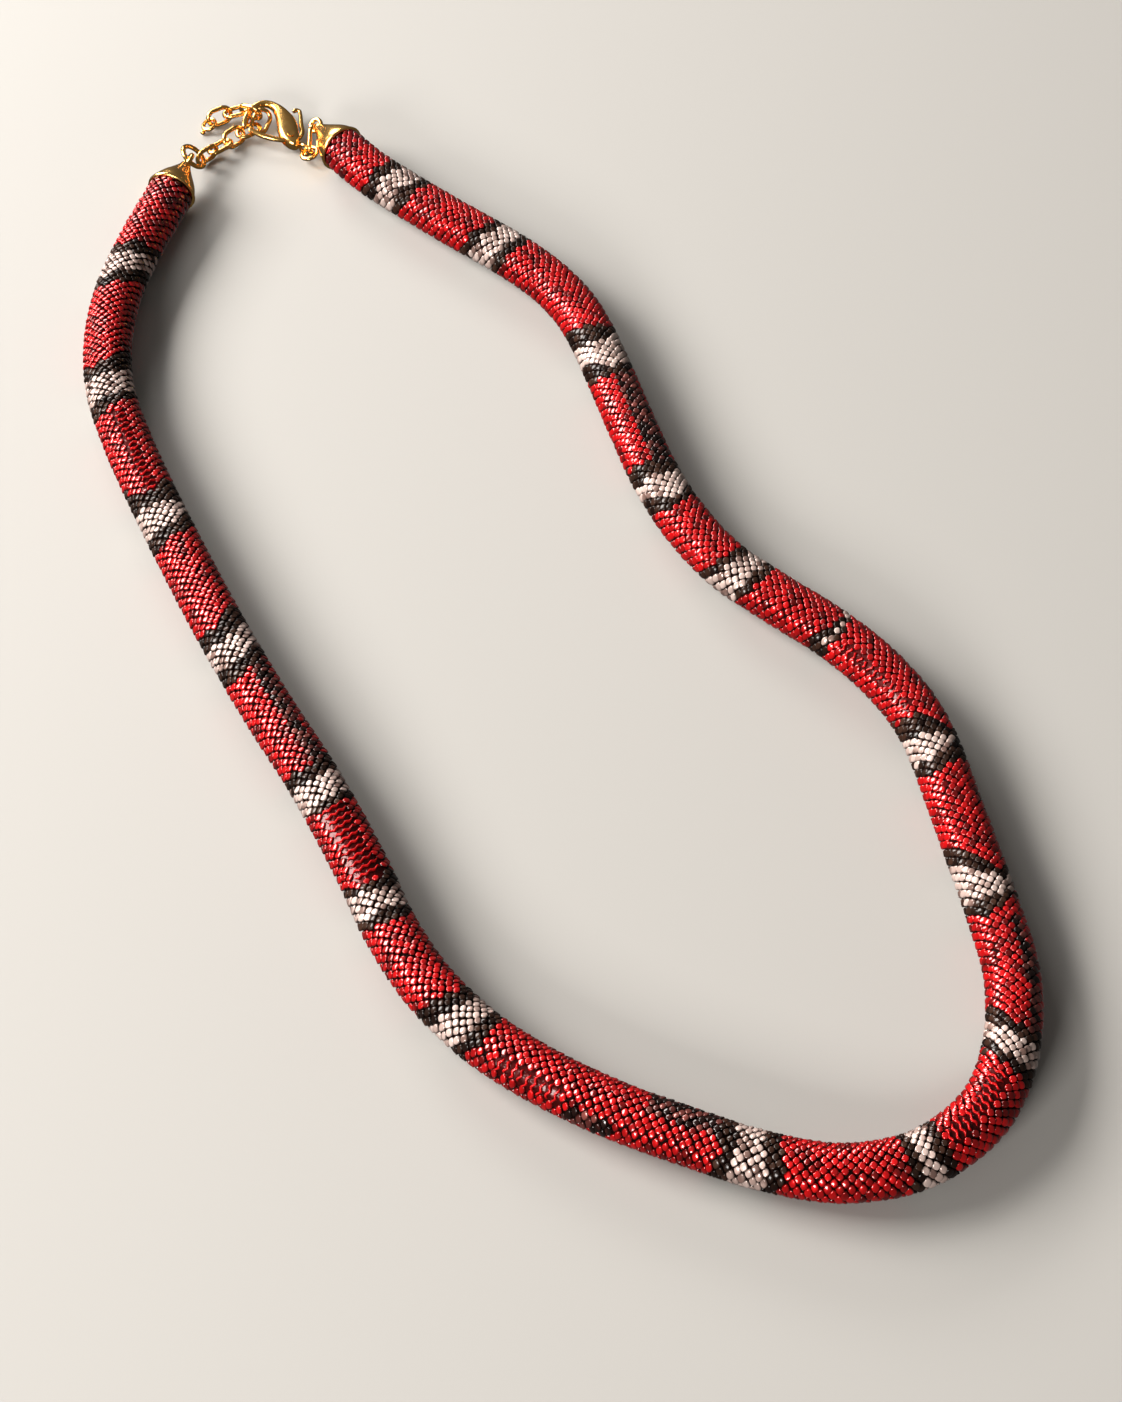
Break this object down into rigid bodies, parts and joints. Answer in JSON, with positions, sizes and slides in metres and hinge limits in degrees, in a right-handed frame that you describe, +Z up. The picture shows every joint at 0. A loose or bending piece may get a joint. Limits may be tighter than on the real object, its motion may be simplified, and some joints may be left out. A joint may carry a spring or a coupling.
{
  "type": "rope necklace",
  "caption": "Snake necklace: a round scaled rope, red with white bands edged in black, lying in a wavy loop, with gold end caps, a lobster clasp and an extender chain.",
  "frame": {"origin": "centre of the outline, on the surface that the necklace lies on", "axes": "+X to the right, +Y from the front of the loop to the clasp at the back, +Z up"},
  "size_m": [0.1457, 0.2128, 0.0087],
  "materials": {
    "scales": "small glossy domed scales, deep red with white bands edged in black",
    "gold": "polished gold plating"
  },
  "bodies": {
    "necklace": {"scaled_rope": "scales", "cap_left": "gold", "cap_right": "gold", "jump_ring_left": "gold", "chain_link_1": "gold", "chain_link_2": "gold", "chain_link_3": "gold", "chain_link_4": "gold", "chain_link_5": "gold", "chain_link_6": "gold", "chain_link_7": "gold", "chain_link_8": "gold", "chain_end_ring": "gold", "clasp_body": "gold", "clasp_pin": "gold", "jump_ring_clasp": "gold", "oval_link_right": "gold"},
    "lever": {"clasp_lever": "gold"}
  },
  "joints": [
    {"name": "lever_hinge", "type": "hinge", "parent": "necklace", "child": "lever", "pos_m": [-0.04184, 0.0974, 0.00178], "axis": [-0.096, 0.075, -0.9926], "range_deg": [0, 13], "stiffness_Nm_per_rad": 0.01, "springref_deg": -17.19}
  ]
}
